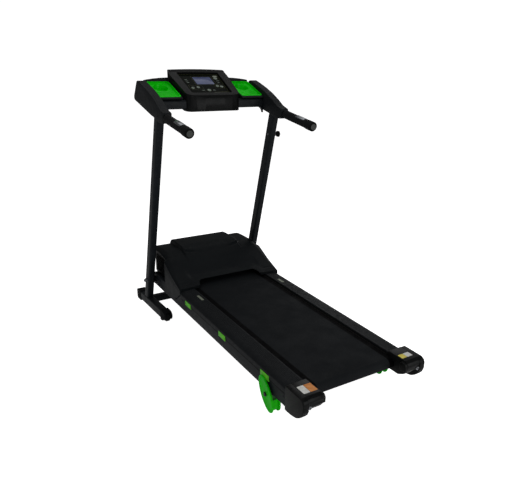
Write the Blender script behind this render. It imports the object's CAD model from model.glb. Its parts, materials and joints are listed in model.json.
"""Looks of a folding motorised treadmill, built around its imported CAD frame.

Shapes are modelled in millimetres, in the machine's axes (x to the runner's right, y forward,
z up) or in the tilted deck's own axes (x, u along the deck, w above it), and placed in the row
frame in metres. Most pieces are made for the right side and mirrored.
"""
import json
import math

import bmesh
import bpy
from mathutils import Matrix, Vector


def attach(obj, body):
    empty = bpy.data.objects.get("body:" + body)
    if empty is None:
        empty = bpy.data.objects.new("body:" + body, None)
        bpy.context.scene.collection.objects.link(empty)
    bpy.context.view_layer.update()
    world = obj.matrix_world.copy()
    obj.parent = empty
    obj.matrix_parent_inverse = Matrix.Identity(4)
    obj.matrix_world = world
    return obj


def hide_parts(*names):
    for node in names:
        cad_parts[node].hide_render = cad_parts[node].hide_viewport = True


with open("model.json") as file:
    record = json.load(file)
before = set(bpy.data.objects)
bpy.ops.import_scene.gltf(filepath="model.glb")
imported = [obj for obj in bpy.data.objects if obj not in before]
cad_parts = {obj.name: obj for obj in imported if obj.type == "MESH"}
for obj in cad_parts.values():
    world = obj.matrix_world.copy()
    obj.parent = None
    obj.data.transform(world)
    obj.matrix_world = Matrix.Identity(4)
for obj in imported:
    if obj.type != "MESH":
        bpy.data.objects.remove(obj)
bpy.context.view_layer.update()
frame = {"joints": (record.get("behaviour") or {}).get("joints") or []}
scene = bpy.context.scene
joints = {j["name"]: j for j in frame["joints"]}

# ---- the machine's main places, in millimetres ----

PIVOT = [1000 * c for c in joints["deck_fold"]["pos_m"]]
FOOT = [1000 * c for c in joints["foot_tilt_right"]["pos_m"]]
DECK_TILT = math.radians(2.62)
UPRIGHT_LEAN = math.radians(17.12)
FOLD_ANGLE = math.radians(74.5)
PANEL, PANEL_SLOPE = (0, 503, 1169.5), math.radians(29.25)
TRAY, TRAY_SLOPE = (223.5, 489, 1147), math.radians(23.3)
CUP = (0, 34)
HANDLE, HANDLE_SLOPE = (311, 3, 981), math.radians(11)
BAR = (286.5, 326.5, 6, 52)
UPRIGHT_X, UPRIGHT_Y0 = 309, 656.5
LOCK_Z = 918
LOCK_Y = UPRIGHT_Y0 - math.tan(UPRIGHT_LEAN) * LOCK_Z
RAIL_IN, RAIL_OUT, RAIL_BOTTOM, RAIL_TOP = 259, 279, -33, 30
DECK_REAR, STEP_FRONT, CAP_REAR = -1282, -346.5, -1394
ROLLER_W = 27
REAR_ROLLER, FRONT_ROLLER = -1299, -208
MOTOR = (-72, 72)

MACHINE = Matrix.Scale(0.001, 4)
DECK = MACHINE @ Matrix.Translation(PIVOT) @ Matrix.Rotation(DECK_TILT, 4, "X")
ON_BASE = (MACHINE, "base")
ON_DECK = (DECK, "deck")


def in_deck(y, z):
    """A point of the machine as (u, w) in the tilted deck."""
    dy, dz = y - PIVOT[1], z - PIVOT[2]
    cos, sin = math.cos(DECK_TILT), math.sin(DECK_TILT)
    return dy * cos + dz * sin, dz * cos - dy * sin


def lock_bush_place():
    """Where the pull pin meets the rail when the deck is folded."""
    dy, dz = LOCK_Y - PIVOT[1], LOCK_Z - PIVOT[2]
    cos, sin = math.cos(FOLD_ANGLE), math.sin(FOLD_ANGLE)
    return in_deck(PIVOT[1] + dy * cos - dz * sin, PIVOT[2] + dz * cos + dy * sin)


FOOT_UW = in_deck(*FOOT[1:])
LOCK_BUSH = lock_bush_place()

# ---- outlines ----


def rounded(points, steps=6):
    """A closed outline whose corners (a, b, radius) are turned into arcs."""
    outline = []
    for i, point in enumerate(points):
        here = Vector(point[:2])
        radius = point[2] if len(point) > 2 else 0
        if radius <= 0:
            outline.append(tuple(here))
            continue
        before = Vector(points[i - 1][:2]) - here
        after = Vector(points[(i + 1) % len(points)][:2]) - here
        half = before.angle(after) / 2
        reach = min(radius / math.tan(half), 0.49 * before.length, 0.49 * after.length)
        bisector = (before.normalized() + after.normalized()).normalized()
        middle = here + bisector * (reach * math.tan(half) / math.sin(half))
        start = here + before.normalized() * reach - middle
        end = here + after.normalized() * reach - middle
        turn = start.angle_signed(end)
        for k in range(steps + 1):
            arm = start.copy()
            arm.rotate(Matrix.Rotation(-turn * k / steps, 2))
            outline.append(tuple(middle + arm))
    return outline


def rounded_rect(a0, a1, b0, b1, radius, steps=6):
    return rounded([(a0, b0, radius), (a1, b0, radius), (a1, b1, radius), (a0, b1, radius)], steps)


def arc(centre, radius, first, last, steps):
    """Points on a circle from one angle to another, both included."""
    turns = [first + (last - first) * k / steps for k in range(steps + 1)]
    return [(centre[0] + radius * math.cos(t), centre[1] + radius * math.sin(t)) for t in turns]


def circle(centre, radius, count, first=0.0):
    return arc(centre, radius, first, first + 2 * math.pi, count)[:-1]


def both_sides(half):
    """An outline given for x > 0, closed with its mirror image."""
    return half + [(-p[0],) + tuple(p[1:]) for p in reversed(half)]


def line(knots, x):
    """Height at x on straight lines through the knots."""
    if x <= knots[0][0]:
        return knots[0][1]
    for (x0, y0), (x1, y1) in zip(knots, knots[1:]):
        if x <= x1:
            return y0 + (y1 - y0) * (x - x0) / (x1 - x0)
    return knots[-1][1]


def spline(knots, x):
    """Height at x on a smooth curve through the knots, which doesn't overshoot them."""
    if x <= knots[0][0] or x >= knots[-1][0]:
        return knots[0 if x <= knots[0][0] else -1][1]
    rises = [(y1 - y0) / (x1 - x0) for (x0, y0), (x1, y1) in zip(knots, knots[1:])]

    def slope(k):
        left, right = rises[max(k - 1, 0)], rises[min(k, len(rises) - 1)]
        return 2 * left * right / (left + right) if left * right > 0 else 0

    i = max(k for k in range(len(rises)) if knots[k][0] <= x)
    (x0, y0), (x1, y1) = knots[i], knots[i + 1]
    span = x1 - x0
    t = (x - x0) / span
    return ((2 * t ** 3 - 3 * t ** 2 + 1) * y0 + (t ** 3 - 2 * t ** 2 + t) * span * slope(i)
            + (3 * t ** 2 - 2 * t ** 3) * y1 + (t ** 3 - t ** 2) * span * slope(i + 1))


def smoothstep(value):
    t = min(max(value, 0), 1)
    return t * t * (3 - 2 * t)


# ---- meshes ----


def make(points=(), faces=()):
    mesh = bpy.data.meshes.new("piece")
    mesh.from_pydata([tuple(p) for p in points], [], faces)
    mesh.update()
    obj = bpy.data.objects.new("piece", mesh)
    scene.collection.objects.link(obj)
    return obj


def loft(rings, loop=False):
    """A closed skin through rings of points, each with the same count."""
    count = len(rings[0])
    points = [p for ring in rings for p in ring]
    faces = []
    for r in range(len(rings) if loop else len(rings) - 1):
        a, b = r * count, ((r + 1) % len(rings)) * count
        for i in range(count):
            j = (i + 1) % count
            faces.append((a + i, a + j, b + j, b + i))
    if not loop:
        faces.append(tuple(range(count)))
        faces.append(tuple(range(len(points) - count, len(points)))[::-1])
    obj = make(points, faces)
    work = bmesh.new()
    work.from_mesh(obj.data)
    bmesh.ops.remove_doubles(work, verts=work.verts, dist=1e-4)
    bmesh.ops.recalc_face_normals(work, faces=work.faces)
    work.to_mesh(obj.data)
    work.free()
    return obj


def spot(axis, a, b, distance):
    """A point from its two cross coordinates and its distance along an axis."""
    return {"x": (distance, a, b), "y": (a, distance, b), "z": (a, b, distance)}[axis]


def along(outline, axis, start, end, cuts=1):
    """An outline drawn out along an axis from start to end."""
    steps = [start + (end - start) * k / cuts for k in range(cuts + 1)]
    return loft([[spot(axis, p[0], p[1], step) for p in outline] for step in steps])


def turned(profile, axis="x", centre=(0, 0), count=48, hollow=False):
    """A profile of (distance along the axis, radius) turned round it; a hollow one stays clear of it."""
    tip = 0.02
    turns = [2 * math.pi * k / count for k in range(count)]

    def at(distance, radius, t):
        reach = max(radius, tip)
        return spot(axis, centre[0] + reach * math.cos(t), centre[1] + reach * math.sin(t), distance)

    if hollow:
        return loft([[at(*p, t) for p in profile] for t in turns], loop=True)
    return loft([[at(*p, t) for t in turns] for p in profile])


def rod(start, end, radius, axis="x", centre=(0, 0), count=48):
    return turned([(start, 0), (start, radius), (end, radius), (end, 0)], axis, centre, count)


def tube(path, radius, count=12, closed=False):
    """A round rod along a path of points."""
    path = [Vector(p) for p in path]
    rings = []
    for i, here in enumerate(path):
        ahead = path[(i + 1) % len(path)] if closed or i + 1 < len(path) else here
        behind = path[i - 1] if closed or i > 0 else here
        run = (ahead - behind).normalized()
        across = run.cross(Vector((0, 0, 1)))
        if across.length < 0.1:
            across = run.cross(Vector((1, 0, 0)))
        across.normalize()
        rings.append([here + across * a + across.cross(run) * b for a, b in circle((0, 0), radius, count)])
    return loft(rings, loop=closed)


def ribbon(path, half_width, low, high):
    """A flat strip along a closed path in the (x, y) plane."""
    rings = []
    for i, here in enumerate(path):
        run = (Vector(path[(i + 1) % len(path)]) - Vector(path[i - 1])).normalized()
        side = Vector((run.y, -run.x)) * half_width
        left, right = Vector(here) - side, Vector(here) + side
        rings.append([(*left, low), (*right, low), (*right, high), (*left, high)])
    return loft(rings, loop=True)


def apply_modifiers(obj):
    bpy.context.view_layer.update()
    evaluated = obj.evaluated_get(bpy.context.evaluated_depsgraph_get())
    mesh = bpy.data.meshes.new_from_object(evaluated)
    obj.modifiers.clear()
    obj.data = mesh
    return obj


def combine(obj, others, operation="DIFFERENCE"):
    """Cuts the others away from obj, or joins them to it; the others are used up."""
    for other in others:
        step = obj.modifiers.new("combine", "BOOLEAN")
        step.operation = operation
        step.solver = "EXACT"
        step.object = other
        apply_modifiers(obj)
        bpy.data.objects.remove(other)
    return obj


def join(obj, *others):
    return combine(obj, others, "UNION")


def merge(pieces):
    """Puts the pieces' meshes into the first one as loose shells."""
    work = bmesh.new()
    for piece in pieces:
        work.from_mesh(piece.data)
    work.to_mesh(pieces[0].data)
    work.free()
    for piece in pieces[1:]:
        bpy.data.objects.remove(piece)
    return pieces[0]


def soften(obj, width, segments=3, angle=28):
    """Rounds the edges that are sharper than an angle."""
    step = obj.modifiers.new("edges", "BEVEL")
    step.width = width
    step.segments = segments
    step.limit_method = "ANGLE"
    step.angle_limit = math.radians(angle)
    step.miter_outer = "MITER_ARC"
    step.use_clamp_overlap = True
    return apply_modifiers(obj)


def tilted(obj, origin, slope):
    """Moves a mesh made round (0, 0, 0) onto a slope."""
    obj.data.transform(Matrix.Translation(origin) @ Matrix.Rotation(slope, 4, "X"))
    return obj


def settle(obj, name, place, finish, node="", angle=35):
    """Places a piece in the row frame; place is (axes, body), finish is (material, record slot)."""
    axes, body = place
    look, slot = finish
    obj.name = name
    obj.data.transform(axes)
    obj.data.shade_smooth()
    obj.data.set_sharp_from_angle(angle=math.radians(angle))
    obj.data.materials.clear()
    obj.data.materials.append(look)
    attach(obj, body)
    if node:
        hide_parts(node)
    return obj


def settle_pair(obj, stem, place, finish, node="", angle=35, right_cut=()):
    """Settles a right-hand piece and its mirrored twin; right_cut is taken from the right one alone."""
    left = make()
    left.data = obj.data.copy()
    left.data.transform(Matrix.Scale(-1, 4, (1, 0, 0)))
    left.data.flip_normals()
    combine(obj, right_cut)
    pair = []
    for piece, side in ((obj, "right"), (left, "left")):
        axes, body = place
        side_node = f"{node}_{side}" if node else ""
        pair.append(settle(piece, f"{stem}_{side}", (axes, body.format(side)), finish, side_node, angle))
    return pair


# ---- materials ----

EVEN = (1, 1, 1)


def linear(red, green, blue):
    """A colour given in screen values from 0 to 255, as the shader takes it."""
    screen = (red / 255, green / 255, blue / 255)
    return tuple(c / 12.92 if c <= 0.04 else ((c + 0.055) / 1.055) ** 2.4 for c in screen) + (1,)


class Finish:
    """A node material, built up step by step."""

    def __init__(self, name, metallic=0.0, specular=0.5, coat=0.0, coat_roughness=0.1, sheen=0.0):
        self.look = bpy.data.materials.new(name)
        self.look.use_nodes = True
        self.tree = self.look.node_tree
        self.shader = self.tree.nodes["Principled BSDF"]
        self.place = self.node("TexCoord").outputs["Object"]
        self.tone = None
        self.relief = None
        self.set(self.shader, {"Metallic": metallic, "Specular IOR Level": specular, "Coat Weight": coat,
                               "Coat Roughness": coat_roughness, "Sheen Weight": sheen})

    def node(self, kind, **settings):
        made = self.tree.nodes.new("ShaderNode" + kind)
        for key, value in settings.items():
            setattr(made, key, value)
        return made

    def set(self, node, values):
        """Gives each named socket its number or colour, or links it to another socket."""
        for name, value in values.items():
            if isinstance(value, bpy.types.NodeSocket):
                self.tree.links.new(value, node.inputs[name])
            else:
                node.inputs[name].default_value = value
        return node

    def stretched(self, scale):
        return self.set(self.node("Mapping"), {"Scale": scale, "Vector": self.place}).outputs["Vector"]

    def noise(self, scale, detail=3, stretch=EVEN, rough=0.55):
        values = {"Scale": scale, "Detail": detail, "Roughness": rough, "Vector": self.stretched(stretch)}
        return self.set(self.node("TexNoise"), values).outputs["Fac"]

    def cells(self, scale):
        values = {"Scale": scale, "Vector": self.stretched(EVEN)}
        return self.set(self.node("TexVoronoi", feature="F1"), values).outputs["Distance"]

    def bands(self, scale, axis="X", stretch=EVEN):
        values = {"Scale": scale, "Vector": self.stretched(stretch)}
        made = self.node("TexWave", wave_type="BANDS", bands_direction=axis)
        return self.set(made, values).outputs["Fac"]

    def remap(self, source, low, high, to_low, to_high):
        values = {"From Min": low, "From Max": high, "To Min": to_low, "To Max": to_high, "Value": source}
        return self.set(self.node("MapRange"), values).outputs["Result"]

    def math(self, operation, first, second):
        return self.set(self.node("Math", operation=operation), {0: first, 1: second}).outputs["Value"]

    def blend(self, amount, first, second):
        """A colour between two; each is a colour or a socket."""
        return self.set(self.node("Mix", data_type="RGBA"), {0: amount, 6: first, 7: second}).outputs[2]

    def paint(self, tone):
        self.tone = tone
        self.set(self.shader, {"Base Color": tone})
        return self

    def colour(self, base, other, scale=9, contrast=0.22, stretch=EVEN):
        """Slow changes between two tones."""
        amount = self.remap(self.noise(scale, 5, stretch), 0.5 - contrast, 0.5 + contrast, 0, 1)
        return self.paint(self.blend(amount, base, other))

    def worn(self, rubbed, strength):
        """A lighter, rubbed tone on edges, broken up by noise."""
        edge = self.remap(self.node("NewGeometry").outputs["Pointiness"], 0.53, 0.6, 0, strength)
        patches = self.remap(self.noise(60, 4), 0.42, 0.62, 0.25, 1)
        return self.paint(self.blend(self.math("MULTIPLY", edge, patches), self.tone, rubbed))

    def roughness(self, low, high, scale=35, stretch=EVEN):
        self.set(self.shader, {"Roughness": self.remap(self.noise(scale, 4, stretch), 0.3, 0.7, low, high)})
        return self

    def bump(self, source, strength, depth):
        made = self.set(self.node("Bump"), {"Strength": strength, "Distance": depth, "Height": source})
        if self.relief is not None:
            self.set(made, {"Normal": self.relief})
        self.relief = made.outputs["Normal"]
        self.set(self.shader, {"Normal": self.relief})
        return self


def surface(name, dark, light, tones, rough, bumps, worn=None, **shader):
    """A finish of two tones with rubbed edges, uneven gloss and layers of fine relief.

    A bump is (noise settings, strength, depth), or has the scale of a cell pattern for its settings.
    """
    made = Finish(name, **shader)
    made.colour(linear(*dark), linear(*light), *tones)
    if worn:
        made.worn(linear(*worn[:3]), worn[3])
    made.roughness(*rough)
    for pattern, strength, depth in bumps:
        source = made.noise(*pattern) if isinstance(pattern, tuple) else made.cells(pattern)
        made.bump(source, strength, depth)
    return made.look


def moulded_plastic(name, dark, light, rough, specular=0.07):
    bumps = [(1500, 0.16, 0.00012), ((420, 3), 0.12, 0.00014)]
    return surface(name, dark, light, (7,), (*rough, 50), bumps, (40, 42, 44, 0.22), specular=specular)


def gloss_plastic(name, dark, light, specular=0.07, coat=0.01):
    bumps = [((26, 2), 0.06, 0.0006), ((600, 2), 0.06, 0.0001)]
    return surface(name, dark, light, (5,), (0.26, 0.38, 30), bumps, (38, 40, 42, 0.2),
                   specular=specular, coat=coat, coat_roughness=0.12)


def bright_plastic(name, dark, light):
    bumps = [(1200, 0.14, 0.00012), ((60, 2), 0.06, 0.0003)]
    return surface(name, dark, light, (10,), (0.3, 0.44, 40), bumps, (90, 205, 60, 0.25),
                   specular=0.08, coat=0.03, coat_roughness=0.2)


def brushed_steel(name, dark, light, low, high):
    grain = (1, 14, 14)
    return surface(name, dark, light, (40, 0.3, grain), (low, high, 160, grain),
                   [((700, 3, grain), 0.12, 0.00006)],
                   metallic=1)


def printed(name, dark, light, scale=40):
    """A printed or pale plastic surface."""
    return surface(name, dark, light, (scale,), (0.35, 0.5), [((500, 2), 0.08, 0.00008)], specular=0.15)


def grip_foam():
    made = Finish("grip_foam", specular=0.06, sheen=0.02)
    made.colour(linear(17, 18, 19), linear(25, 26, 27), 16)
    made.roughness(0.72, 0.9, 90)
    pores = made.remap(made.cells(950), 0.0, 0.5, 0, 1)
    return made.bump(pores, 0.55, 0.0005).bump(made.noise(240, 5), 0.3, 0.0005).look


def running_belt_rubber():
    """A fine diamond emboss, dulled in patches by shoes and dust, with darker cut edges."""
    edge_start, edge_end = 0.1735, 0.1755
    made = Finish("running_belt", specular=0.04)
    dust = made.remap(made.noise(5.5, 6, (1, 0.45, 1), 0.62), 0.42, 0.72, 0, 0.6)
    dry = made.blend(dust, linear(25, 27, 29), linear(33, 35, 37))
    specks = made.remap(made.noise(900, 2), 0.6, 0.72, 0, 0.25)
    speckled = made.blend(specks, dry, linear(44, 46, 48))
    across = made.set(made.node("SeparateXYZ"), {0: made.place}).outputs["X"]
    edge = made.remap(made.math("ABSOLUTE", across, 0), edge_start, edge_end, 0, 1)
    made.paint(made.blend(edge, speckled, linear(2, 2, 3)))
    made.roughness(0.55, 0.75, 14)
    ridges = [made.bands(62, "DIAGONAL", (way, 1, 0)) for way in (1, -1)]
    diamonds = made.math("MAXIMUM", *ridges)
    return made.bump(diamonds, 0.4, 0.00045).bump(made.noise(800, 3), 0.3, 0.00018).look


def lcd_glass():
    """A back-lit screen: uneven in tone, with the fine rows of its cells."""
    made = Finish("lcd_screen", specular=0.2, coat=0.1, coat_roughness=0.08)
    rows = made.bands(260)
    lit = made.remap(made.noise(22, 3), 0.3, 0.7, 0, 1)
    glow = made.blend(lit, linear(66, 72, 104), linear(82, 90, 122))
    made.paint(made.blend(made.remap(rows, 0, 1, 0, 0.15), glow, linear(46, 50, 80)))
    made.set(made.shader, {"Emission Color": made.tone, "Emission Strength": 0.12})
    return made.roughness(0.08, 0.16, 30).look


# Each finish is a material with the record slot it belongs to.
PAINT = surface("powder_coat", (19, 22, 25), (25, 28, 31), (), (0.36, 0.48),
                [((700, 2), 0.22, 0.00016), ((45, 3), 0.08, 0.0004)], (42, 45, 48, 0.25),
                specular=0.07), "paint"
PLASTIC = moulded_plastic("black_plastic", (20, 22, 24), (27, 29, 31), (0.42, 0.55)), "black_plastic"
DEEP_PLASTIC = moulded_plastic("deep_black_plastic", (6, 7, 7), (10, 11, 11), (0.5, 0.62),
                               0.06), "black_plastic"
SHELL = surface("satin_shell", (14, 17, 19), (19, 22, 24), (4,), (0.36, 0.46, 22),
                [(1300, 0.12, 0.0001), ((9, 2), 0.05, 0.0012)], (38, 41, 43, 0.2),
                specular=0.06), "gloss_black"
GLOSS = gloss_plastic("gloss_black", (13, 14, 14), (18, 19, 19)), "gloss_black"
PANEL_FILM = gloss_plastic("panel_film", (6, 9, 5), (10, 14, 8), 0.015, 0), "panel"
RUBBER = surface("soft_rubber", (15, 16, 17), (22, 23, 24), (14,), (0.66, 0.86),
                 [((520, 4), 0.35, 0.00022)], (44, 46, 46, 0.4), specular=0.08), "rubber"
FOAM = grip_foam(), "foam"
GREEN = bright_plastic("green_plastic", (3, 180, 2), (10, 212, 4)), "green"
FOOT_GREEN = bright_plastic("foot_green", (8, 164, 6), (34, 212, 5)), "green"
LIME = bright_plastic("lime_plastic", (84, 184, 30), (112, 208, 54)), "lime"
STEEL = brushed_steel("zinc_steel", (120, 122, 126), (168, 170, 174), 0.28, 0.44), "steel"
DARK_STEEL = brushed_steel("dark_steel", (40, 42, 45), (66, 68, 72), 0.35, 0.5), "steel"
CHROME = surface("pulse_chrome", (140, 143, 147), (172, 175, 178), (12,), (0.24, 0.36, 60, (1, 1, 6)),
                 [((90, 2), 0.05, 0.0002)], metallic=1), "chrome"
BELT = running_belt_rubber(), "belt"
BOARD = surface("board_laminate", (20, 19, 18), (30, 28, 26), (60, 0.3, (1, 0.15, 1)), (0.55, 0.75),
                [((300, 5, (1, 0.2, 1)), 0.3, 0.0003)], specular=0.1), "board"
CAP_END = printed("cap_end", (62, 64, 62), (76, 78, 76)), "black_plastic"
CASTING = surface("motor_casting", (70, 74, 78), (98, 102, 106), (18,), (0.42, 0.6),
                  [((380, 5), 0.4, 0.0003)], (160, 164, 168, 0.7), metallic=0.75), "motor"
SCREEN = lcd_glass(), "screen"
KEY = printed("key_plastic", (112, 122, 114), (134, 144, 134)), "keys"
KEY_DARK = printed("key_dark", (64, 70, 70), (84, 90, 90)), "keys"
LINE = printed("panel_line", (60, 62, 38), (76, 78, 52)), "panel"
LABEL_WHITE = printed("label_white", (205, 205, 200), (232, 232, 228), 90), "gloss_black"
LABEL_ORANGE = printed("label_orange", (196, 120, 60), (222, 150, 84), 60), "gloss_black"
LABEL_YELLOW = printed("label_yellow", (214, 196, 70), (232, 216, 110), 60), "gloss_black"
LABEL_GREY = printed("label_grey", (104, 110, 98), (140, 146, 130), 120), "black_plastic"

# ---- floor frame, caps and wheels ----


def bar_block(y0, y1):
    """The room that a floor bar takes up inside a cap."""
    gap = 0.4
    return along(rounded_rect(BAR[0] - gap, BAR[1] + gap, BAR[2] - gap, BAR[3] + gap, 5), "y", y0, y1)


def weld_bead(path, radius=2.2):
    """A rippled fillet of weld along a closed path."""
    points = []
    for i, here in enumerate(path):
        ahead = path[(i + 1) % len(path)]
        steps = max(1, round(math.dist(here, ahead) / 2.6))
        points += [Vector(here).lerp(Vector(ahead), k / steps) for k in range(steps)]
    sides = 8
    bead = tube(points, radius, sides, closed=True)
    for i, vertex in enumerate(bead.data.vertices):
        vertex.co.z += 0.35 * math.sin(2.4 * (i // sides))
    return bead


def upright_section(grow=0, radius=9):
    return rounded_rect(-17.5 - grow, 17.5 + grow, -25 - grow, 25 + grow, radius)


def upright_ring(level, grow=0):
    """The upright's outline where it meets a level plane."""
    cos, sin = math.cos(UPRIGHT_LEAN), math.sin(UPRIGHT_LEAN)
    climbs = [(a, b, (level - b * sin) / cos) for a, b in upright_section(grow, 9 + grow)]
    return [(UPRIGHT_X + a, UPRIGHT_Y0 + b * cos - climb * sin, level) for a, b, climb in climbs]


def floor_frame():
    bar = along(rounded_rect(*BAR, 5), "y", 420, 770)
    settle_pair(bar, "floor_bar", ON_BASE, PAINT)
    cross_tube = along(rounded_rect(630, 668, 13, 49, 5), "x", -286.6, 286.6)
    settle(cross_tube, "floor_cross_tube", ON_BASE, PAINT, "base_frame")
    seam = [(286.6, y, z) for y, z in rounded_rect(629, 669, 12, 50, 6, 3)]
    settle_pair(weld_bead(seam), "cross_weld", ON_BASE, PAINT)
    settle_pair(weld_bead(upright_ring(52.6, 0.6)), "upright_weld", ON_BASE, PAINT)


def front_caps():
    outline = rounded([(728, 0, 1), (776, 0, 6), (784, 9, 5), (784, 49, 5), (777, 56, 4), (728, 56, 1)], 5)
    cap = soften(along(outline, "x", 284.5, 328.5), 2.4)
    grooves = [along(rounded_rect(y - 1, y + 1, -3, 1.4, 0.6, 2), "x", 280, 332) for y in range(736, 776, 7)]
    combine(cap, grooves + [bar_block(700, 770.3)])
    settle_pair(cap, "front_cap", ON_BASE, RUBBER, "front_floor_cap")


def wheel_housings():
    points = [(430, 0, 1), (408, 0, 4), (399, 9, 4), (377, 13, 5), (368, 26, 5), (368, 40, 6), (378, 50, 7)]
    cap = soften(along(rounded(points + [(392, 54.5, 12), (430, 55.4, 1)], 5), "x", 284.5, 328.5), 2.4)
    slot = along(rounded([(300, -5), (415.5, -5, 1), (415.5, 48, 6), (300, 48)], 4), "x", 295, 318)
    combine(cap, [slot, bar_block(419.7, 500)])
    settle_pair(cap, "wheel_housing", ON_BASE, RUBBER, "rear_floor_cap")


def transport_wheels():
    centre = (390, 23.3)
    profile = [(289, 0), (289, 3.2), (289.8, 4), (297, 4), (297.4, 8), (295.9, 9.4), (296.2, 17.5),
               (298.3, 21.4)]
    for x in (299, 302.7, 306.4, 310.1, 313.8):
        profile += [(x, 21.8), (x + 0.5, 21.1), (x + 1.3, 21.1), (x + 1.8, 21.8)]
    profile += [(316.6, 21), (317, 18), (315.9, 9.4), (315.8, 8), (316, 4), (323.2, 4), (324, 3.2), (324, 0)]
    holes = [rod(280, 330, 2.6, "x", middle, 16) for middle in circle(centre, 12.6, 6)]
    wheel = combine(turned(profile, "x", centre), holes)
    settle_pair(wheel, "wheel", (MACHINE, "transport_wheel_{}"), RUBBER, "transport_wheel", 30)


def bolt(centre, washer, head, shanks):
    """Washer, chamfered hexagon head and shanks along x; each is (start, end, radius)."""
    hexagon = soften(along(circle(centre, head[2], 6), "x", *head[:2]), 0.9, 2)
    return merge([hexagon, soften(rod(*washer, "x", centre), 0.4, 2)] + shanks)


def pivot_bolts():
    centre = (PIVOT[1], PIVOT[2])
    end = turned([(336.5, 0), (336.5, 6.6), (341.8, 6.6), (342.8, 5.6), (342.8, 0)], "x", centre, 24)
    piece = bolt(centre, (326.9, 328.7, 11.4), (328.7, 337, 11.2), [rod(262, 328, 6, "x", centre, 24), end])
    settle_pair(piece, "pivot_fixing", ON_BASE, STEEL, "pivot_bolt", 30)


# ---- uprights and the pull pin ----


def upright():
    top = 1132
    cos, sin = math.cos(UPRIGHT_LEAN), math.sin(UPRIGHT_LEAN)
    section = upright_section()
    head = [(UPRIGHT_X + a, UPRIGHT_Y0 + b * cos - top * sin, b * sin + top * cos) for a, b in section]
    piece = loft([upright_ring(52.3), head])
    combine(piece, [rod(250, 350, 6.4, "x", (PIVOT[1], PIVOT[2]), 32)])
    pin_hole = rod(250, 350, 5.6, "x", (LOCK_Y, LOCK_Z), 32)
    settle_pair(piece, "upright_tube", ON_BASE, PAINT, "upright", right_cut=[pin_hole])
    outer = [(325.8, 5.6), (325.8, 11.6), (327.6, 11), (330.4, 11), (331, 10.2), (331, 5.6)]
    settle(turned(outer, "x", (LOCK_Y, LOCK_Z), 40, True), "pin_collar", ON_BASE, PAINT)


def pull_pin():
    place = (MACHINE, "lock_pin")
    pin = turned([(291.8, 0), (291.8, 3.5), (293.5, 5), (340, 5), (340, 0)], "x", (LOCK_Y, LOCK_Z), 32)
    settle(pin, "pin_rod", place, STEEL)
    profile = [(339, 8.6, 0), (341, 9.2, 0), (346.5, 10.4, 0), (348.6, 13, 0.3), (350, 15.4, 0.9),
               (353, 16.6, 1),
               (357.5, 16.6, 1), (360.2, 15, 0.9), (361.8, 12, 0.5), (362.4, 8, 0.1)]
    count, lobes, lobe_depth = 72, 6, 1.5
    rings = []
    for distance, radius, wave in profile:
        ring = []
        for k in range(count):
            t = 2 * math.pi * k / count
            reach = radius - lobe_depth * wave * (0.5 - 0.5 * math.cos(lobes * t))
            ring.append((distance, LOCK_Y + reach * math.cos(t), LOCK_Z + reach * math.sin(t)))
        rings.append(ring)
    settle(loft(rings), "pin_knob", place, GLOSS, "lock_pin", 40)


# ---- console: side covers, bar, shelves and trays ----


def on_handle(obj):
    return tilted(obj, HANDLE, HANDLE_SLOPE)


def on_tray(obj):
    return tilted(obj, TRAY, TRAY_SLOPE)


def side_covers():
    corners = [(247.2, 1005, 9), (292, 1006, 30), (322, 1015, 60), (366, 1029, 60), (396, 1036, 60)]
    corners += [(601, 1096, 9), (609, 1106, 7), (606, 1120, 9), (560, 1184, 8), (548, 1187, 12)]
    corners += [(502, 1172, 60), (441, 1150, 60), (383, 1125, 80), (326, 1094, 60), (284, 1067, 40),
                (238.6, 1051, 9)]
    outline = [Vector(p) for p in rounded(corners, 6)]
    cover = soften(along(outline, "x", 287.5, 329.5), 3.2, 4)
    middle = sum(outline, Vector((0, 0))) / len(outline)
    groove = tube([(316.5, *(p + (p - middle).normalized() * 0.15)) for p in outline], 0.55, 6, closed=True)
    upright_room = along(upright_section(0.5, 8), "z", -40, 1133)
    tilted(upright_room, (UPRIGHT_X, UPRIGHT_Y0, 0), UPRIGHT_LEAN)
    handle_room = on_handle(rod(228, 288, 16.7, "y", (0, 0), 40))
    screws = ((566, 1128), (300, 1034))
    wells = [rod(327.2, 335, 5, "x", middle, 28) for middle in screws]
    combine(cover, [upright_room, handle_room, groove] + wells)
    settle_pair(cover, "side_cover_shell", ON_BASE, PLASTIC, "side_cover")
    heads = []
    for y, z in screws:
        head = turned([(326.4, 0), (326.4, 4), (328, 3.8), (328.8, 2.4), (328.9, 0)], "x", (y, z), 24)
        cross = [rounded_rect(y - a, y + a, z - b, z + b, 0.3, 2) for a, b in ((2.2, 0.5), (0.5, 2.2))]
        heads.append(combine(head, [along(arm, "x", 328, 330) for arm in cross]))
    settle_pair(merge(heads), "cover_screws", ON_BASE, DARK_STEEL)


def cross_bar():
    corners = [(410, 1056, 5), (434, 1056, 5), (434, 1100, 5), (410, 1100, 14)]
    settle(along(rounded(corners, 8), "x", -287.2, 287.2), "bar", ON_BASE, PAINT, "cross_bar")
    curve = arc((258, 1028), 29.2, 0, math.pi / 2, 10)
    fillet = soften(along(curve + [(258, 1058), (287.2, 1058)], "y", 412, 432), 1.2, 2)
    settle_pair(fillet, "bar_fillet", ON_BASE, PAINT)


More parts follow.
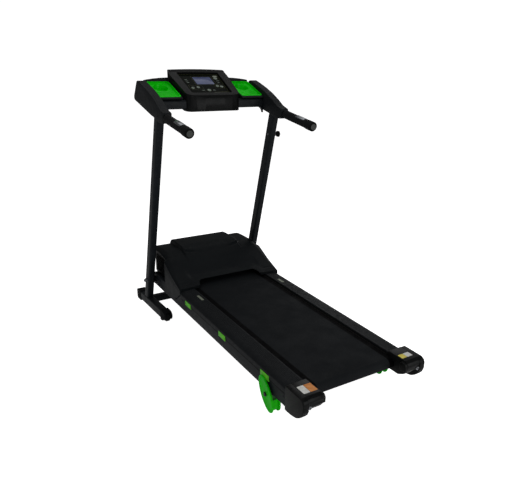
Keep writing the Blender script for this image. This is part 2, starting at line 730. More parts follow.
def shelves():
    corners = [(436, 1102), (436, 1064, 4), (600, 1113, 8), (604, 1128, 10), (586, 1180, 10), (576, 1184, 8)]
    outline = rounded(corners + [(412, 1114, 8), (402, 1108, 4), (402, 1102)], 5)
    shelf = soften(along(outline, "x", 160.6, 287.2), 2.4)
    top = [(160.7, 1150), (287.1, 1150), (287.1, 1189, 3), (270, 1192), (240, 1196), (200, 1199.5),
           (160.7, 1201, 3)]
    join(shelf, soften(along(rounded(top, 5), "y", 574, 584), 1.6, 3))
    pocket = on_tray(along(rounded_rect(-61, 61, -86, 86, 14), "z", -12.4, 30))
    combine(shelf, [pocket, on_tray(rod(-36, 0, 42.5, "z", CUP, 64))])
    settle_pair(shelf, "shelf_moulding", ON_BASE, PLASTIC, "shelf")


def trays():
    """A shallow dish with a cup well, its rim turned over the shelf."""
    body = soften(along(rounded_rect(-60.6, 60.6, -85.6, 85.6, 13.6), "z", -12, 2), 1.6, 3)
    join(body, rod(-35.4, -6, 42, "z", CUP, 64))
    hollow = soften(along(rounded_rect(-54, 54, -79, 79, 10), "z", -8, 8), 3.2, 4)
    well = [(-32, 0), (-32, 30), (-30.8, 33), (-28, 34.2), (-8.5, 37), (-7, 38.2), (6, 40), (6, 0)]
    ribs = [along(rounded_rect(-44, 44, y, y + 3, 1.4, 4), "z", -8.9, -7) for y in range(-66, -21, 11)]
    combine(body, [hollow, turned(well, "z", CUP, 64)] + ribs + [rod(-40, -30, 3, "z", CUP, 24)])
    settle_pair(on_tray(body), "tray_dish", ON_BASE, GREEN, "tray")


# ---- console body, panel, screen and keys ----


def on_panel(obj):
    return tilted(obj, PANEL, PANEL_SLOPE)


def trapezoid(inset, radius):
    """The panel's outline, wider at its top, drawn in from its edge."""
    low, high, half = 108 - inset, 114 - inset, 97 - inset
    return rounded([(-low, -half, radius), (low, -half, radius), (high, half, radius), (-high, half, radius)])


def console_body():
    side = [(382, 1047, 5), (381, 1104, 14), (390, 1121, 12), (408, 1129, 12), (586, 1228.7, 10),
            (596, 1239, 8)]
    side += [(604, 1242, 8), (613, 1239, 8), (618, 1230, 8), (620, 1208, 30), (614, 1150, 30),
             (596, 1112, 24)]
    side += [(556, 1092, 40), (434, 1048, 20), (392, 1043, 5)]
    front = [(-139, 403, 10), (-126, 394, 12), (-95, 387, 40), (-50, 382.5, 80)]
    back = [(144, 414, 12), (158, 560, 24), (158, 592, 14), (148, 610, 8), (80, 618, 40)]
    plan = front + [(-x, y, r) for x, y, r in reversed(front)] + both_sides(back)
    body = along(rounded(side, 6), "x", -162, 162, 26)
    combine(body, [along(rounded(plan, 6), "z", 1030, 1260)], "INTERSECT")
    soften(body, 3.6, 4, 40)
    crown_start, crown_drop, half_width = 1195, 3.5, 158
    for vertex in body.data.vertices:
        rise = smoothstep((vertex.co.z - crown_start) / 40)
        vertex.co.z -= rise * crown_drop * (vertex.co.x / half_width) ** 2
    recess = on_panel(along(trapezoid(-0.6, 8), "z", -3.4, 60))
    well = on_panel(along(rounded_rect(-100, 100, -88, 88, 6), "z", -16, 0))
    bar_slot = along(rounded_rect(409.5, 434.5, 1055.5, 1100.5, 5), "x", -200, 200)
    settle(combine(body, [recess, well, bar_slot]), "console", ON_BASE, GLOSS, "console_body", 32)


# Each key: its place on the panel, its radius and the plain sign moulded on it.
BUTTONS = {
    "button_start": (2, -58, 9, [rounded([(-2.4, -3.4, 0.5), (3.6, 0, 0.5), (-2.4, 3.4, 0.5)], 3)]),
    "button_stop": (84, 53, 9, [rounded_rect(-2.8, 2.8, -2.8, 2.8, 0.6, 3)]),
    "button_speed_up": (64, -20, 7.5, [rounded([(-3, -1.8, 0.4), (3, -1.8, 0.4), (0, 2.8, 0.4)], 3)]),
    "button_speed_down": (85, -26, 7.5, [rounded([(0, -2.8, 0.4), (3, 1.8, 0.4), (-3, 1.8, 0.4)], 3)]),
    "button_mode": (-46, -30, 7.5, []),
    "button_program": (-76, -36, 7.5, [rounded_rect(-3, 3, y, y + 0.9, 0.3, 2) for y in (-2.25, -0.45,
                                                                                         1.35)]),
}


def keys():
    low, high = 1.6, 2.3
    for name, (x, y, radius, outlines) in BUTTONS.items():
        profile = [(-9, 0), (-9, radius), (0.9, radius), (1.6, radius - 0.5), (1.95, radius - 1.3),
                   (1.8, radius * 0.6), (1.65, radius * 0.3), (1.6, 0)]
        place = (MACHINE, name)
        settle(on_panel(turned(profile, "z", (x, y))), name + "_key", place, KEY, name, 30)
        if outlines:
            sign = merge([along(outline, "z", low, high) for outline in outlines])
        else:
            sign = ribbon(circle((0, 0), 2.8, 24), 0.5, low, high)
        sign.data.transform(Matrix.Translation((x, y, 0)))
        settle(on_panel(sign), name + "_sign", place, KEY_DARK)


def panel():
    plate = soften(along(trapezoid(0, 7.6), "z", -3, 0), 0.5, 2, 40)
    window = along(rounded_rect(-43, 63, -3, 72, 4), "z", -60, 60)
    holes = [rod(-60, 60, r + 0.8, "z", (x, y), 40) for x, y, r, _ in BUTTONS.values()]
    combine(plate, [window] + holes)
    settle(on_panel(plate), "panel_plate", ON_BASE, PANEL_FILM, "control_panel", 30)


def panel_print():
    """Border, key rings and blank bars printed on the film, with no lettering."""
    base, film = -0.05, 0.14
    strips = [ribbon(trapezoid(5, 5), 0.55, base, film),
              ribbon(rounded_rect(-46, 66, -6, 75, 5), 0.5, base, 0.2)]
    strips += [ribbon(circle((x, y), r + 2.2, 48), 0.5, base, film) for x, y, r, _ in BUTTONS.values()]
    bar = rounded([(20, -80, 3), (96, -76, 3), (96, -73.6, 1), (20, -77.6, 1)], 4)
    strips.append(along(bar, "z", base, film))
    left = [(-92, -8, 6), (-62, -14, 6), (-22, -16, 6), (-22, -46, 8), (-60, -52, 8), (-92, -50, 8)]
    right = [(48, -2, 6), (98, -8, 6), (98, -42, 8), (48, -38, 8)]
    strips += [ribbon(rounded(group, 5), 0.4, base, 0.12) for group in (left, right)]
    settle(on_panel(merge(strips)), "panel_lines", ON_BASE, LINE, "", 30)
    spots = []
    for x, y, half_x, half_y in ((89, 74, 9, 1.4), (89, 30, 8, 1.4), (84, 12, 6, 1.4), (-82, 30, 7, 1.3),
                                 (-82, 44, 7, 1.3), (-82, 16, 7, 1.3), (30, -58, 8, 1.4), (-28, -58, 8, 1.4)):
        outline = rounded_rect(x - half_x, x + half_x, y - half_y, y + half_y, 0.9 * half_y, 3)
        spots.append(along(outline, "z", base, 0.16))
    settle(on_panel(merge(spots)), "panel_marks", ON_BASE, KEY, "", 30)
    sticker = along(rounded_rect(78, 101, 66, 80, 2, 3), "z", base, 0.2)
    settle(on_panel(sticker), "panel_sticker", ON_BASE, (LABEL_GREY[0], "keys"), "", 30)


def display():
    base = along(rounded_rect(-42.5, 62.5, -2.5, 71.5, 3.5), "z", -9, -1.6)
    settle(on_panel(base), "lcd", ON_BASE, PANEL_FILM, "", 30)
    pane = soften(along(rounded_rect(-38.5, 58.5, 0.5, 69, 2), "z", -2, -0.8), 0.4, 2)
    settle(on_panel(pane), "lcd_pane", ON_BASE, SCREEN, "display", 30)


# ---- handles ----


def handle_turn(profile, stem, finish, node="", angle=35):
    """A pair of pieces turned round the handles' axes."""
    piece = on_handle(turned(profile, "y", count=56))
    return settle_pair(piece, stem, ON_BASE, finish, node, angle)


def handles():
    handle_turn([(230, 2), (230, 16), (283, 16), (283, 2)], "handle_stub", PAINT)
    handle_turn([(0.2, 0.4), (0.2, 12.4), (0.5, 13.6), (1.2, 14.2), (3, 14.3), (3, 0.4)], "cap_disc", CAP_END)
    dome = [(1.2, 0.4), (1.2, 14.2), (0.6, 15.2), (0.5, 16.2), (1.4, 17.8), (2.8, 19.4), (5, 20.4), (9, 20.6),
            (9, 0.4)]
    handle_turn(dome, "handle_cap", DEEP_PLASTIC)
    foam = [(4, 0.4), (4, 20.4), (4.6, 21.6), (6, 22.3), (8.5, 22.5)]
    foam += [(12 + 3 * k, 22.5 - 0.12 * math.sin(k)) for k in range(11)]
    foam += [(46, 22.4), (49, 22.2), (51.5, 21.6), (53.5, 20.9), (57, 20.5)]
    foam += [(60 + 6 * k, 20.4 + 0.1 * math.sin(1.7 * k)) for k in range(29)]
    foam += [(232, 20.5), (236, 20.3), (238.4, 19.6), (239.6, 18.4), (239.8, 17), (239.8, 0.4)]
    for piece in handle_turn(foam, "grip_sleeve", FOAM, "handle", 50):
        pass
    ferrule = [(239.4, 16.2), (239.4, 18.4), (240.2, 19.2), (243.5, 19.4), (246, 19), (247.5, 17.4),
               (247.5, 16.2)]
    settle_pair(on_handle(turned(ferrule, "y", hollow=True)), "grip_ferrule", ON_BASE, DEEP_PLASTIC)


def pulse_plates():
    """Chromed plates let into the grips, with rounded corners and a parting line."""
    first, last, start, end, corner = math.radians(38.5), math.radians(141.5), 66.4, 137.6, 9
    inner, edge, top = 20.3, 21.75, 21.8
    width = (last - first) * top
    steps = 44
    rings = []
    for k in range(steps + 1):
        place = 0.5 - 0.5 * math.cos(math.pi * k / steps)
        side = width * min(place, 1 - place)
        tuck = corner - math.sqrt(max(corner ** 2 - (corner - min(side, corner)) ** 2, 0))
        turn = first + (last - first) * place
        rim = top + 0.45 * smoothstep(side / 1.2)
        low, high = start + tuck, end - tuck
        section = [(inner, low), (edge, low), (rim, low + 1), (rim, high - 1), (edge, high), (inner, high)]
        rings.append([(r * math.cos(turn), y, r * math.sin(turn)) for r, y in section])
    settle_pair(on_handle(loft(rings)), "pulse_contact", ON_BASE, CHROME, "pulse_plate", 40)
    margin = 0.04 * (last - first)
    curve = arc((0, 0), 22.28, first + margin, last - margin, 24)
    gaps = [tube([(a, y, b) for a, b in curve], 0.28, 6) for y in (100.6, 103.4)]
    settle_pair(on_handle(merge(gaps)), "pulse_gap", ON_BASE, DEEP_PLASTIC)


# ---- deck: rails, cross channels, board, belt and foot rails ----


def channel(u, half, low, high):
    """A pressed cross channel, open underneath."""
    inner = half - 2.5
    outline = [(u - half, low, 1), (u - inner, low, 1), (u - inner, high - 2.5, 2),
               (u + inner, high - 2.5, 2)]
    outline += [(u + inner, low, 1), (u + half, low, 1), (u + half, high, 4), (u - half, high, 4)]
    return along(rounded(outline, 4), "x", -RAIL_IN - 0.5, RAIL_IN + 0.5)


BOARD_SUPPORTS = (-1240, -760, -300)


def deck_frame():
    rail = along(rounded_rect(RAIL_IN, RAIL_OUT, RAIL_BOTTOM, RAIL_TOP, 4), "y", DECK_REAR, 25)
    combine(rail, [rod(RAIL_OUT - 1.2, 300, 3, "x", (u, 7), 20) for u in (-1262, -60)])
    settle_pair(rail, "side_rail", ON_DECK, PAINT)
    members = [channel(u, 20, 8.5, RAIL_TOP) for u in BOARD_SUPPORTS]
    members += [channel(-100, 20, -14, 14), channel(0, 14, -14, 14)]
    settle(merge(members), "cross_channels", ON_DECK, PAINT, "deck_frame")
    boss = turned([(260, 6.4), (260, 15), (289.6, 15), (291, 13.6), (291, 6.4)], count=40, hollow=True)
    settle_pair(boss, "hinge_boss", ON_DECK, PAINT)
    beads = []
    for u in BOARD_SUPPORTS:
        path = [(258.6, u + a, w) for a, w in ((-21, 12), (-21, 29), (21, 29), (21, 12))]
        beads.append(weld_bead(path, 1.6))
    beads.append(tube([(279.4, *p) for p in circle((0, 0), 15.4, 30)], 1.7, 8, closed=True))
    settle_pair(merge(beads), "rail_welds", ON_DECK, PAINT)
    u, foot = FOOT_UW[0], RAIL_BOTTOM + 1
    outline = [(u - 24, foot)] + arc(FOOT_UW, 13, math.pi, 2 * math.pi, 16) + [(u + 24, foot)]
    plate = soften(along(outline, "x", 264, 274), 0.8, 2)
    settle_pair(combine(plate, [rod(240, 300, 5.4, "x", FOOT_UW, 28)]), "foot_bracket", ON_DECK, PAINT)
    bush = [(278.4, 6), (278.4, 9.5), (289.8, 9.5), (290.5, 8.8), (290.5, 6)]
    settle(turned(bush, "x", LOCK_BUSH, 40, True), "lock_bush", ON_DECK, STEEL)


def board():
    slab = soften(along(rounded_rect(-256, 256, -1270, -252, 3, 3), "z", 31.5, 47.5), 1.2, 3)
    settle(slab, "board", ON_DECK, BOARD, "running_board", 30)
    profile = [(30.6, 0), (30.9, 2), (31.6, 3.1), (34, 3.1), (34, 0)]
    screws = [turned(profile, "z", (x, u), 16) for u in BOARD_SUPPORTS for x in (-236, -120, 120, 236)]
    settle(merge(screws), "board_screws", ON_DECK, STEEL, "", 30)


def stadium(radius):
    """The loop round both rollers as (u, w), starting on top at the rear."""
    quarter = math.pi / 2
    rear = arc((REAR_ROLLER, ROLLER_W), radius, quarter, 3 * quarter, 20)
    return rear + arc((FRONT_ROLLER, ROLLER_W), radius, -quarter, quarter, 20)


def walking_belt():
    half, fold = 197, 196.2
    rings = []
    for high, low in zip(stadium(23.2), stadium(21.3)):
        lip = tuple(Vector(low).lerp(Vector(high), 0.55))
        ring = [(-half, *low), (-half, *lip)] + [(x, *high) for x in (-fold, -120, 0, 120, fold)]
        rings.append(ring + [(half, *lip), (half, *low)])
    settle(loft(rings, loop=True), "belt_loop", ON_DECK, BELT, "walking_belt", 30)


def step_height(x):
    """Height of the foot rails' sloping top."""
    return 59 - (abs(x) - 207) * 2 / 49


def foot_rails():
    """Ribbed plastic steps over the side tubes, with a dark seal under their lips."""
    profile = [(204.5, 48.3), (259.4, 48.3), (259.4, 31), (279.4, 31), (279.4, 24.6), (281.5, 24.6),
               (281.5, 40.4)]
    profile += [(281, 43), (279, 46.3), (275.6, 49.4), (270.6, 52.3), (264, 55), (258, 56.6)]
    rib_pitch, rib_depth = 7, 0.5
    for k in range(6):
        x = 253 - rib_pitch * k
        top = step_height(x)
        profile += [(x, top), (x - 0.6, top - rib_depth), (x - 1.8, top - rib_depth), (x - 2.4, top)]
    profile += [(210.5, 58.9), (207.4, 59), (205.6, 58.6), (204.7, 57.4)]
    settle_pair(along(profile, "y", DECK_REAR, STEP_FRONT), "foot_step", ON_DECK, PLASTIC, "foot_rail", 20)
    seal = along(rounded_rect(279.3, 281.4, 18.6, 24.5, 0.8, 3), "y", DECK_REAR, STEP_FRONT)
    settle_pair(seal, "rail_seal", ON_DECK, DEEP_PLASTIC, "", 30)


def rail_clips():
    section = [(279.4, 12.5, 0.4), (283.5, 12.5, 1.4), (283.5, 34, 2.4), (281.8, 36, 0.4), (281.8, 24.2, 0.2)]
    section = rounded(section + [(279.4, 24.2, 0.2)], 4)
    for number, u in enumerate((-437, -787, -1134), 1):
        ridges = [rounded_rect(y - 0.8, y + 0.8, 15, 31, 0.7, 2) for y in (u - 24, u + 24)]
        clip = soften(along(section, "y", u - 30, u + 30), 0.7, 2, 40)
        merge([clip] + [along(ridge, "x", 283.1, 283.5) for ridge in ridges])
        notch = [rod(270, 295, 10.5, "x", LOCK_BUSH, 32)] if number == 2 else []
        settle_pair(clip, f"trim_clip_{number}", ON_DECK, LIME, f"rail_clip_{number}", 30, notch)


def rail_labels():
    """Small blank stickers on the steps near the hood."""
    low, high = 57.2, 58.4
    for side, x0, x1, front in (("left", -233, -221, -430), ("right", 221, 235, -440)):
        label = along(rounded_rect(x0, x1, -488, front, 2, 3), "z", low, high)
        for vertex in label.data.vertices:
            vertex.co.z = step_height(vertex.co.x) + (0.22 if vertex.co.z > 58 else -0.4)
        settle(label, f"step_label_{side}", ON_DECK, LABEL_GREY, "", 30)


# ---- rear end caps, adjusters and feet ----

ADJUSTER = (257, ROLLER_W)
ADJUST_HEAD = CAP_REAR + 3.3
ADJUST_SEAT = CAP_REAR + 9


def rear_caps():
    front = DECK_REAR - 0.5
    lobe = [(front, -33.4), (-1300, -33.4, 10), (-1318, -32.4, 16), (-1336, -29.5, 18)]
    lobe += [(-1354, -25, 20), (-1373, -13, 22), (-1387, 3, 22), (CAP_REAR, 22, 20), (CAP_REAR, 48, 16)]
    lobe += [(-1388, 60, 9), (-1374, 67, 9), (front, 67)]
    cap = soften(along(rounded(lobe, 6), "x", 262, 289.5), 3.4, 4, 40)
    inner = [(front, -6), (-1344, -6, 16), (-1374, 10, 16), (-1388, 28, 14), (-1391, 50, 9)]
    inner += [(-1385, 61, 7), (-1372, 67, 8), (front, 67)]
    body = soften(along(rounded(inner, 6), "x", 200.5, 266), 1.4, 2, 40)
    nose = [(-1389, 28, 4), (-1356, 24, 5), (-1356, 56, 6), (-1366, 62, 6), (-1382, 60, 8), (-1389, 50, 8)]
    join(cap, body, soften(along(rounded(nose, 5), "x", 190, 204), 2.4, 3, 40))
    shaft = rod(180, 266, 8, "x", (REAR_ROLLER, ROLLER_W), 32)
    slot = [(CAP_REAR - 10, 0), (CAP_REAR - 10, 9), (ADJUST_SEAT, 9), (ADJUST_SEAT, 4.4), (REAR_ROLLER, 4.4)]
    seam = along(rounded_rect(262.2, 263, 65.8, 70, 0.3, 2), "y", -1370, DECK_REAR)
    grooves = [shaft, turned(slot + [(REAR_ROLLER, 0)], "y", ADJUSTER, 40), seam]
    for w in (-2, 8, 18):
        grooves.append(along(rounded_rect(-1402, -1389.5 + 0.6 * w, w - 0.9, w + 0.9, 0.5, 2), "x", 268, 285))
    settle_pair(combine(cap, grooves), "end_cap", ON_DECK, GLOSS, "rear_cap", 34)
    profile = [(66.6, 0), (66.6, 3.4), (66.95, 3.2), (67, 2.4), (67, 0)]
    heads = [turned(profile, "z", middle, 24) for middle in ((272, -1300), (276, -1362))]
    settle_pair(merge(heads), "cap_screws", ON_DECK, DARK_STEEL, "", 30)


def cap_labels():
    """Blank stickers on top of the end caps."""
    for name, x0, x1, u0, u1, look in (("left_a", -262, -235, -1358, -1311, LABEL_WHITE),
                                       ("left_b", -234, -203, -1358, -1311, LABEL_ORANGE),
                                       ("right_a", 206, 232, -1354, -1327, LABEL_YELLOW),
                                       ("right_b", 233, 261, -1354, -1327, LABEL_WHITE)):
        sticker = along(rounded_rect(x0, x1, u0, u1, 2.5, 4), "z", 66.7, 67.2)
        settle(sticker, "cap_label_" + name, ON_DECK, look, "", 30)


def adjusters():
    head = soften(along(circle(ADJUSTER, 7.5, 6, math.pi / 6), "y", ADJUST_HEAD, ADJUST_HEAD + 5.5), 0.5, 2)
    combine(head, [along(circle(ADJUSTER, 3.6, 6), "y", ADJUST_HEAD - 4, ADJUST_HEAD + 3.4)])
    shank = rod(ADJUST_HEAD + 5, REAR_ROLLER - 8, 4, "y", ADJUSTER, 24)
    settle_pair(merge([head, shank]), "adjuster", ON_DECK, STEEL, "adjust_bolt", 30)


def oval(long, short, x0, x1):
    turns = [2 * math.pi * k / 80 for k in range(80)]
    return along([(short * math.cos(t), long * math.sin(t)) for t in turns], "x", x0, x1)


def rear_feet():
    """Oval rocking feet: two cheeks with raised rims, joined by a web."""
    lean = -math.radians(32) - DECK_TILT
    foot = soften(oval(73, 36, 284, 290.8), 1.4, 3)
    combine(foot, [soften(oval(64, 27.5, 289.6, 294), 0.6, 2)])
    inner = soften(oval(73, 36, 251.9, 258.7), 1.4, 3)
    combine(inner, [soften(oval(64, 27.5, 248, 253.1), 0.6, 2)])
    upper = along([(-80, -30), (80, -30), (80, 90), (-80, 90)], "x", 200, 300)
    hub = turned([(288, 0), (288, 14), (290.2, 13), (290.2, 0)], count=40)
    join(foot, inner, combine(oval(66, 29, 257.7, 285), [upper]), hub)
    combine(foot, [rod(200, 300, 5.5, count=32)])
    tilted(foot, (0, *FOOT_UW), lean)
    settle_pair(foot, "rocker_foot", (DECK, "rear_foot_{}"), FOOT_GREEN, "rear_foot", 30)
    nut = soften(along(circle(FOOT_UW, 9, 6), "x", 246.1, 251.4), 0.6, 2)
    piece = bolt(FOOT_UW, (291.2, 292, 9.9), (292, 295.4, 9), [rod(252, 292, 5, "x", FOOT_UW, 24), nut])
    settle_pair(piece, "foot_fixing", ON_DECK, DARK_STEEL, "foot_bolt", 30)


# ---- rollers and drive ----


def grooved(radius, depth=1.2):
    """The profile of a pulley's belt grooves."""
    profile = [(205, radius + 2), (206.5, radius)]
    for k in range(5):
        x = 207.6 + 2.9 * k
        profile += [(x, radius), (x + 0.9, radius - depth), (x + 1.8, radius)]
    return profile + [(221.5, radius), (223, radius + 2)]


BIG_PULLEY, SMALL_PULLEY = 36, 15


def rollers():
    profile = [(-264, 0), (-264, 6.7), (-263, 7.5), (-199, 7.5), (-199, 9), (-198.2, 18), (-199, 20),
               (-196, 21)]
    profile += [(-100, 21.2), (0, 21.25), (100, 21.2)]
    profile += [(196, 21), (199, 20), (198.2, 18), (199, 9), (199, 7.5), (263, 7.5), (264, 6.7), (264, 0)]
    rear = turned(profile, "x", (REAR_ROLLER, ROLLER_W))
    settle(rear, "rear_drum", (DECK, "rear_roller"), STEEL, "rear_roller", 30)
    profile = [(-258.6, 0), (-258.6, 7.2), (-257.8, 8), (-199, 8), (-198.2, 18), (-199, 20), (-196, 21),
               (0, 21.2)]
    profile += [(196, 21), (199, 20), (199, 14), (205, 14)] + grooved(BIG_PULLEY)
    profile += [(223, 8), (257.8, 8), (258.6, 7.2), (258.6, 0)]
    front = turned(profile, "x", (FRONT_ROLLER, ROLLER_W))
    settle(front, "front_drum", (DECK, "front_roller"), STEEL, "front_roller", 30)


def drive():
    u, w = MOTOR
    profile = [(-120, 0), (-120, 34), (-114, 43), (-108, 46), (-60, 46), (-59, 44.6), (-54, 44.6), (-53, 46)]
    profile += [(40, 46), (41, 44.6), (46, 44.6), (47, 46), (90, 46), (98, 40), (98, 0)]
    barrel = turned(profile, "x", MOTOR, 64)
    fins = []
    for k in range(16):
        t = math.pi * (k + 0.5) / 8
        fin = along(rounded_rect(-1.1, 1.1, -3, 3, 0.6, 2), "x", -46, 34)
        fins.append(tilted(fin, (0, u + 45.5 * math.cos(t), w + 45.5 * math.sin(t)), t - math.pi / 2))
    combine(barrel, fins)
    join(barrel, soften(along(rounded_rect(u - 46, u + 20, 14.4, 42, 4), "x", -96, 76), 1.5, 2))
    settle(barrel, "motor_barrel", ON_DECK, CASTING, "drive_motor", 30)
    profile = [(98.5, 0), (98.5, 8), (106, 8)] + [(x, 44) for x in (106, 107, 109, 119, 121, 122)]
    profile += [(122, 8), (205, 8)] + grooved(SMALL_PULLEY) + [(223, 0)]
    rotor = turned(profile, "x", MOTOR, 64)
    holes = [rod(100, 130, 5.2, "x", middle, 16) for middle in circle(MOTOR, 30, 12)]
    settle(combine(rotor, holes), "rotor", (DECK, "motor_rotor"), STEEL, "motor_rotor", 30)


def drive_belt():
    """A belt round the motor's and the front roller's pulleys."""
    roller = (FRONT_ROLLER, ROLLER_W)
    across, up = MOTOR[0] - roller[0], MOTOR[1] - roller[1]
    heading = math.atan2(up, across)
    spread = math.acos((BIG_PULLEY - SMALL_PULLEY) / math.hypot(across, up))

    def loop(away):
        near = arc(MOTOR, SMALL_PULLEY + away, heading - spread, heading + spread, 24)
        return near + arc(roller, BIG_PULLEY + away, heading + spread, heading - spread + 2 * math.pi, 40)

    rings = []
    for outer, inner in zip(loop(3.3), loop(0.4)):
        rings.append([(207, *inner), (207, *outer), (221, *outer), (221, *inner)])
    settle(loft(rings, loop=True), "drive_loop", ON_DECK, RUBBER, "drive_belt", 30)


def controller():
    box = soften(along(rounded_rect(-76, -18, -15.6, 50, 3), "x", -236, -132), 1.6, 3)
    combine(box, [along(rounded_rect(-70, -24, 48, 60, 1, 2), "x", x, x + 3.2) for x in range(-228, -138, 8)])
    settle(box, "controller_case", ON_DECK, PLASTIC, "motor_controller", 30)


def pan():
    tray = soften(along(rounded_rect(-256, 256, -180, 57, 8, 4), "z", -19.2, -16), 0.8, 2)
    join(tray, soften(along(rounded_rect(-254, 254, 54, 57, 1, 2), "z", -17, -9), 0.5, 2))
    slots = [rounded_rect(x - 16, x + 16, u, u + 5, 2.2, 3) for x in range(-200, 201, 50) for u in (-66, -52)]
    combine(tray, [along(slot, "z", -24, -10) for slot in slots])
    settle(tray, "belly_pan", ON_DECK, PLASTIC, "motor_pan", 30)


# ---- motor hood ----

HOOD_TOP = [(-346, 68), (-300, 86), (-249, 107), (-197, 133), (-146, 158), (-100, 171.5), (-50, 174.5),
            (0, 173),
            (40, 170.5), (56, 166), (62, 155)]
HOOD_MIDDLE = [(-346, 70), (-306, 84.4), (-264, 94.5), (-249, 102.5), (-197, 133.5), (-146, 160)]
BROW_TOP = [(-190, 138), (-150, 161.5), (-105, 185), (-60, 192.5), (0, 193), (46, 190), (57, 185), (62, 176)]
HOOD_BOTTOM = [(-345.5, 40), (-275, -14), (40, -14), (62, -8)]
HOOD_HALF = [(-152, 283.5), (-148, 282), (-134, 269.5), (-130, 268), (44, 268), (50, 264.5), (62, 256)]
CHAMFER_WIDE = [(-346, 5), (-146, 29), (-100, 27), (40, 20), (62, 8)]
CHAMFER_DEEP = [(-346, 3), (-146, 11), (-100, 11), (40, 9), (62, 4)]
RECESS = [(-150, 0), (-140, 14), (40, 14), (62, 8)]
BROW_HALF, BROW_HEIGHT = 168, 193


def hill(x, middle, spread):
    return math.exp(-((x - middle) / spread) ** 2)


def hood_height(x, u):
    """Height of the hood's upper surface, with its flat band over the belt and its raised brow."""
    side = abs(x)
    top = spline(HOOD_TOP, u)
    if u < -146:
        band = 1 - smoothstep((side - 186) / 26)
        top += (spline(HOOD_MIDDLE, u) - top) * band * (1 - smoothstep((u + 190) / 44))
        top -= 1.7 * hill(u, -316, 3.5) * smoothstep((side - 206) / 5) * (1 - smoothstep((side - 244) / 8))
    if u > -190:
        inside = 1 - smoothstep((side - BROW_HALF + 10) / 10)
        top += max(spline(BROW_TOP, u) - top, 0) * inside
    ends = smoothstep((side - 84) / 50) * (1 - smoothstep((side - BROW_HALF + 6) / 14))
    start = -138 + 20 * (side / BROW_HALF) ** 4
    rise = smoothstep((u - start) / 7) * (1 - smoothstep((u - start - 22) / 36))
    top += ends * (3.4 * rise - 2.6 * hill(u, start - 1, 6))
    return min(top, BROW_HEIGHT)


HOOD_COLUMNS = [0, 24, 48, 66, 80, 92, 104, 114, 124, 134, 142, 148, 153, 157, 160, 162, 164, 166, 168, 171,
                176, 182,
                187, 192, 198, 204, 208, 212, 220, 230]
HOOD_STATIONS = [-346, -344.5, -342, -336, -330, -324, -321, -318.5, -316, -313.5, -310, -306, -301, -294,
                 -286, -278]
HOOD_STATIONS += [-270, -264, -258, -252, *range(-244, -183, 10), -176, -168, -161, -155, -151, -148, -145.9]
HOOD_STATIONS += [*range(-144, -123, 2), -121, -118, -115, -111, -106, -100, -92, -82, -70]
HOOD_STATIONS += [-56, -40, -24, -8, 8, 22, 34, 40, 44, 47, 50, 53, 55, 57, 59, 60.6, 61.5, 62]


def hood_ring(u):
    """The hood's section at u: its top, chamfer, shelf and side, down to its lower edge."""
    half, bottom = line(HOOD_HALF, u), line(HOOD_BOTTOM, u)
    wide, deep, inset = line(CHAMFER_WIDE, u), line(CHAMFER_DEEP, u), line(RECESS, u)
    crease = half - wide
    outer_columns = [230 + (crease - 5 - 230) * t for t in (0.4, 0.75, 1)]
    right = [(x, hood_height(x, u)) for x in HOOD_COLUMNS + outer_columns]
    edge = hood_height(crease, u)
    shelf = edge - deep - 9
    right += [(crease - 2, edge - 0.25), (crease + 1, edge - 0.6 - deep / wide)]
    right += [(crease + 0.3 * wide, edge - 0.3 * deep - 0.6), (half - 0.12 * wide - 2, edge - 0.8 * deep)]
    right += [(half - 1, edge - deep - 1), (half, edge - deep - 3)]
    right += [(half, shelf), (half - 0.5, shelf - 1.5), (half - inset, shelf - 3)]
    right += [(half - inset, shelf - 3 + (bottom - shelf + 3) * t) for t in (0.3, 0.6, 0.85, 1)]
    return [(x, u, w) for x, w in reversed(right)] + [(-x, u, w) for x, w in right[1:]]


def motor_hood():
    shell = loft([hood_ring(u) for u in HOOD_STATIONS])
    cavity_top = [(-350, 30), (-342, 62), (-298, 76), (-262, 86), (-247, 94), (-195, 126), (-145, 150),
                  (-99, 166)]
    cavity_top += [(-50, 169.5), (0, 168), (40, 165), (53, 160), (58.6, 150), (58.6, -40), (-350, -40)]
    plan = both_sides([(279.4, -360), (279.4, -156), (250, -143), (250, 45), (240, 58.6)])
    cavity = combine(along(cavity_top, "x", -284, 284), [along(plan, "z", -60, 220)], "INTERSECT")
    belt_arch = both_sides([(207, -40), (207, 57, 1), (181, 57, 3), (174, 70, 10), (166, 79, 10),
                            (152, 84, 14)])
    arch = along(rounded(belt_arch, 6), "y", -360, -288)
    notches = []
    for side in (1, -1):
        corners = [(side * x, u) for x, u in ((245, -152.5), (290, -152.5), (290, 80), (245, 80))]
        notches.append(along(corners, "z", -40, 31))
    settle(combine(shell, [cavity, arch] + notches), "hood", ON_DECK, SHELL, "motor_hood", 38)


def hood_vents():
    """Dark louvred panels in the recesses beside the uprights."""
    outline = rounded([(-126, 34, 4), (38, 34, 8), (38, 132, 10), (20, 140, 10), (-126, 138, 10)], 5)
    pieces = [soften(along(outline, "x", 253.4, 256.2), 0.8, 2)]
    for w in range(44, 125, 10):
        louvre = rounded([(w, 255.4), (w + 1.6, 255.4), (w + 5.4, 260.6, 0.8), (w + 3.6, 260.9, 0.8)], 3)
        pieces.append(along([(x, z) for z, x in louvre], "y", -116, 28))
    settle_pair(merge(pieces), "side_vent", ON_DECK, DEEP_PLASTIC, "", 30)


# ---- floor, light and camera ----


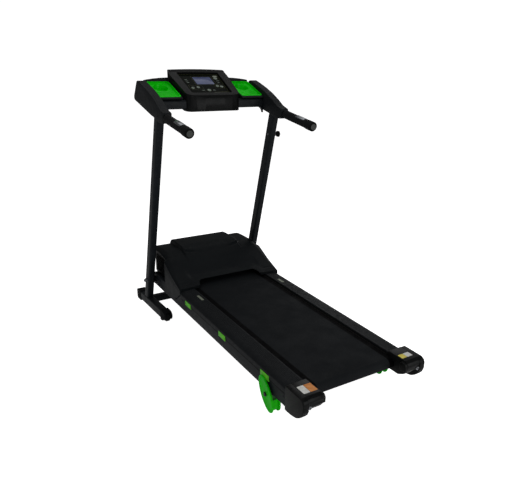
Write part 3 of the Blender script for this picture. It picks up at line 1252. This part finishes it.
def studio_floor():
    """White to the camera, and dimmer as light, so that black plastic stays black."""
    made = Finish("studio_floor", specular=0.1)
    made.colour(linear(252, 252, 252), linear(255, 255, 255), 0.6)
    made.roughness(0.85, 0.95, 3)
    seen = made.node("LightPath").outputs["Is Camera Ray"]
    shine = made.remap(seen, 0, 1, 0.16, 1)
    made.set(made.shader, {"Emission Color": (1, 1, 1, 1), "Emission Strength": shine})
    reach = 60
    floor = make([(-reach, -reach, 0), (reach, -reach, 0), (reach, reach, 0), (-reach, reach, 0)],
                 [(0, 1, 2, 3)])
    floor.name = "floor"
    floor.data.materials.append(made.look)


def soft_box(name, place, target, size, power):
    lamp = bpy.data.lights.new(name, "AREA")
    lamp.shape = "RECTANGLE"
    lamp.size, lamp.size_y = size
    lamp.energy = power
    box = bpy.data.objects.new(name, lamp)
    box.location = place
    box.rotation_mode = "QUATERNION"
    box.rotation_quaternion = (Vector(target) - Vector(place)).to_track_quat("-Z", "Y")
    scene.collection.objects.link(box)


def surroundings():
    """White to the camera, and dimmer as light, like the floor."""
    world = bpy.data.worlds.new("studio")
    world.use_nodes = True
    tree = world.node_tree
    back = tree.nodes["Background"]
    back.inputs["Color"].default_value = (1, 1, 1, 1)
    path = tree.nodes.new("ShaderNodeLightPath")
    strength = tree.nodes.new("ShaderNodeMapRange")
    strength.inputs["To Min"].default_value = 0.12
    strength.inputs["To Max"].default_value = 1.05
    tree.links.new(path.outputs["Is Camera Ray"], strength.inputs["Value"])
    tree.links.new(strength.outputs["Result"], back.inputs["Strength"])
    scene.world = world
    scene.view_settings.view_transform = "Standard"


def lights():
    soft_box("key", (-2.6, -1.6, 3.2), (0, 0.1, 0.5), (2.4, 2.4), 36)
    soft_box("fill", (1.6, -3.8, 1.5), (0, 0.3, 0.8), (2.4, 2.0), 50)
    soft_box("top", (0.3, 0.6, 3.4), (0, 0.1, 0.4), (3.2, 3.2), 24)
    soft_box("rim", (2.6, 2.2, 1.8), (0, 0.2, 0.6), (1.6, 2.4), 10)


def camera():
    lens = bpy.data.cameras.new("camera")
    lens.lens = 37.18
    lens.sensor_width = 36
    lens.shift_x = 0.0026
    lens.shift_y = -0.0053
    lens.dof.use_dof = False
    eye = bpy.data.objects.new("camera", lens)
    eye.location = (-1.2413, -2.0849, 1.1991)
    ahead = Vector((0.5012, 0.8137, -0.2946)).normalized()
    right = ahead.cross(Vector((0.1545, 0.2508, 0.9556))).normalized()
    above = right.cross(ahead).normalized()
    eye.rotation_mode = "QUATERNION"
    eye.rotation_quaternion = Matrix((right, above, -ahead)).transposed().to_quaternion()
    scene.collection.objects.link(eye)
    scene.camera = eye


# ---- everything, in order ----

for build in (floor_frame, front_caps, wheel_housings, transport_wheels, pivot_bolts, upright, pull_pin,
              side_covers,
              cross_bar, shelves, trays, console_body, keys, panel, panel_print, display, handles,
              pulse_plates,
              deck_frame, board, walking_belt, foot_rails, rail_clips, rail_labels, rear_caps, cap_labels,
              adjusters,
              rear_feet, rollers, drive, drive_belt, controller, pan, motor_hood, hood_vents,
              studio_floor, surroundings, lights, camera):
    build()
